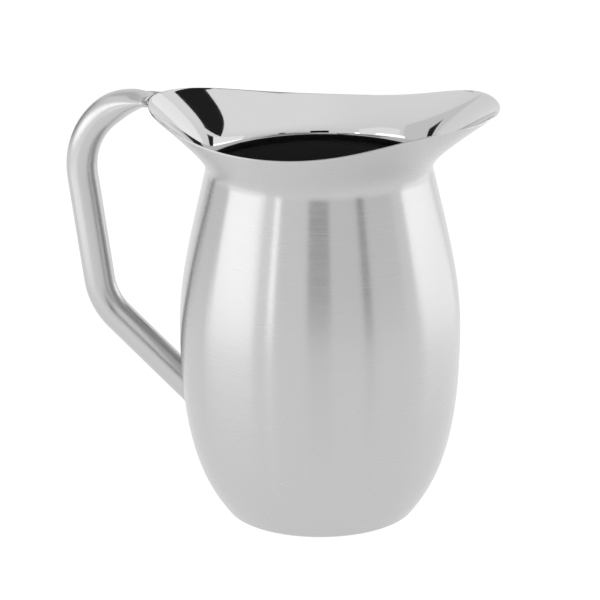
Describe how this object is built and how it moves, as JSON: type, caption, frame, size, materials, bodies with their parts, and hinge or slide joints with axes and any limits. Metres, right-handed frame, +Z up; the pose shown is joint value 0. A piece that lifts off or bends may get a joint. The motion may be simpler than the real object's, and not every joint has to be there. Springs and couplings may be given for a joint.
{
  "type": "water pitcher",
  "caption": "Bulged metal water pitcher with a flared, saddle-shaped oval lip for pouring and a hollow tubular side handle welded to the rim and the lower body.",
  "frame": {"origin": "centre of the base on the table plane", "axes": "+Z up along the body's axis, +X toward the spout, handle toward -X, symmetric left to right across Y"},
  "size_m": [0.2158, 0.1352, 0.2037],
  "materials": {
    "satin_steel": "circumferential satin outside, bright polish inside the lip",
    "polished_steel": "soft polish"
  },
  "bodies": {
    "root": {"body_shell": "satin_steel", "handle_tube": "polished_steel", "lower_handle_weld": "polished_steel", "upper_handle_weld": "polished_steel"}
  },
  "joints": []
}
